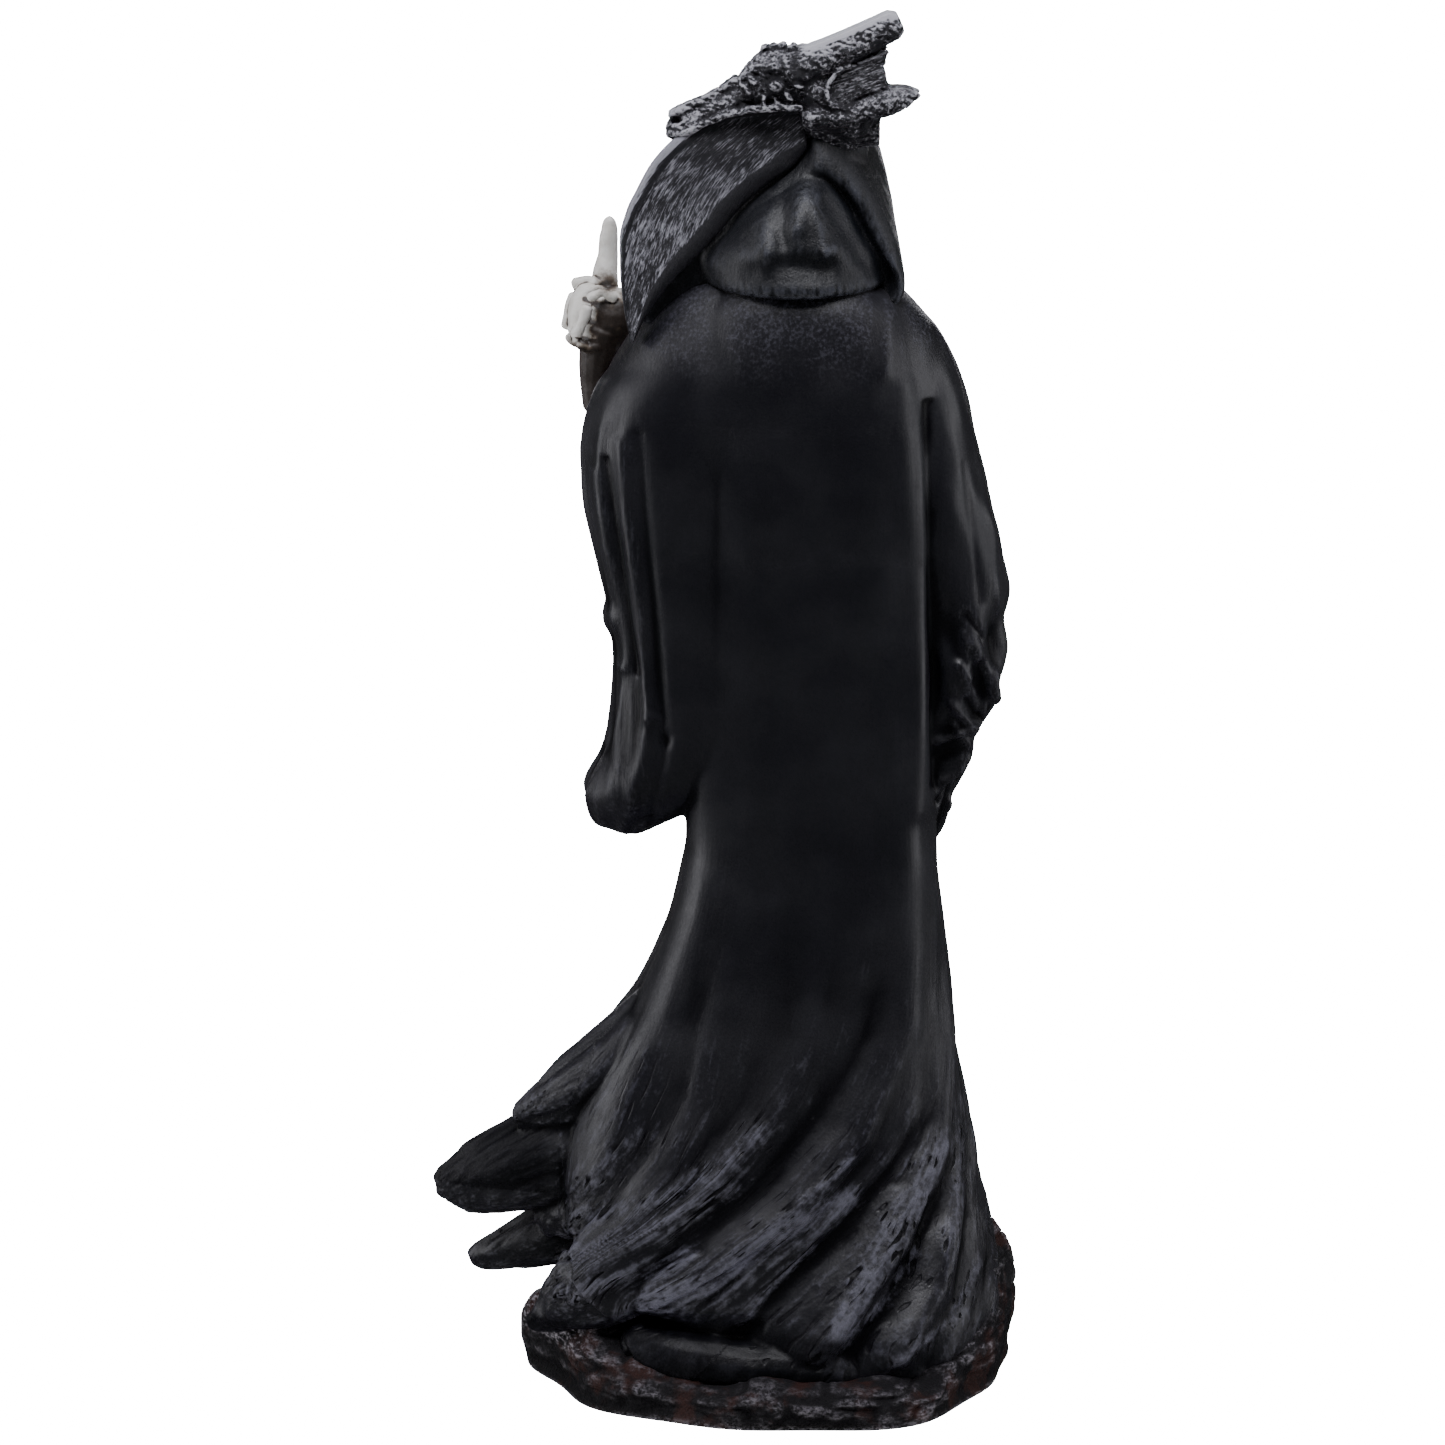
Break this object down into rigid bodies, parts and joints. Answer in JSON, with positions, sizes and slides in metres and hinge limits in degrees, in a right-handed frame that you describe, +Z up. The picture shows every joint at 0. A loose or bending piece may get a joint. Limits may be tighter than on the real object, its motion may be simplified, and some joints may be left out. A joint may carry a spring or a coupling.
{
  "type": "grim reaper figurine",
  "caption": "Hooded robed reaper standing on a rock, holding a dragon-headed scythe over the hood, with one bony hand raised.",
  "frame": {"origin": "centre of the rock base's flat underside", "axes": "+Z up along the figure's height; the figure faces -Y and its left side is +X"},
  "size_m": [0.1304, 0.0983, 0.3009],
  "materials": {
    "painted_resin": "satin black paint with silver dry-brushing"
  },
  "bodies": {
    "root": {"reaper_figurine": "painted_resin"}
  },
  "joints": []
}
